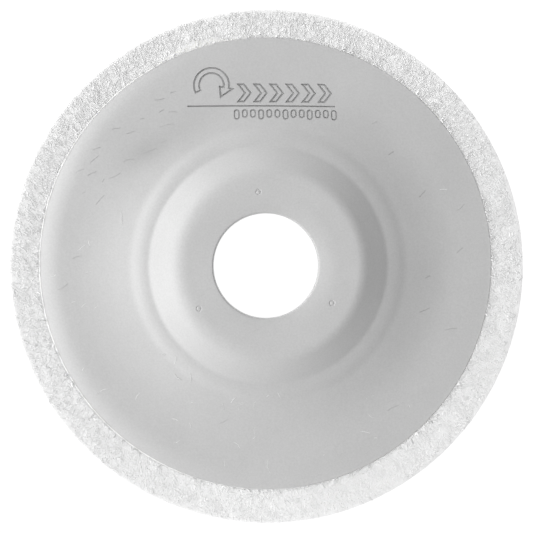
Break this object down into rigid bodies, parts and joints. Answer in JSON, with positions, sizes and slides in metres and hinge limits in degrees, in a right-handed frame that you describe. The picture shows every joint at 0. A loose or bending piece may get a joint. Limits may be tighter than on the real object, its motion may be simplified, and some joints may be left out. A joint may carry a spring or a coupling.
{
  "type": "felt polishing wheel",
  "caption": "Round felt polishing wheel: a ring of pressed felt glued under a dished plastic backing plate with a raised hub and a plain spindle bore.",
  "frame": {"origin": "on the spindle axis, in the plane of the felt's working face", "axes": "+Z along the spindle axis from the working face towards the grinder; X and Y lie in the working face"},
  "size_m": [0.115, 0.115, 0.0175],
  "materials": {
    "plate_plastic": "semi-gloss light grey moulded plastic with fine scratches",
    "dried_adhesive": "dried pale translucent adhesive",
    "pressed_felt": "off-white pressed wool felt with short loose fibres"
  },
  "bodies": {
    "root": {"backing_plate": "plate_plastic", "adhesive_layer": "dried_adhesive", "felt_ring": "pressed_felt"}
  },
  "joints": []
}
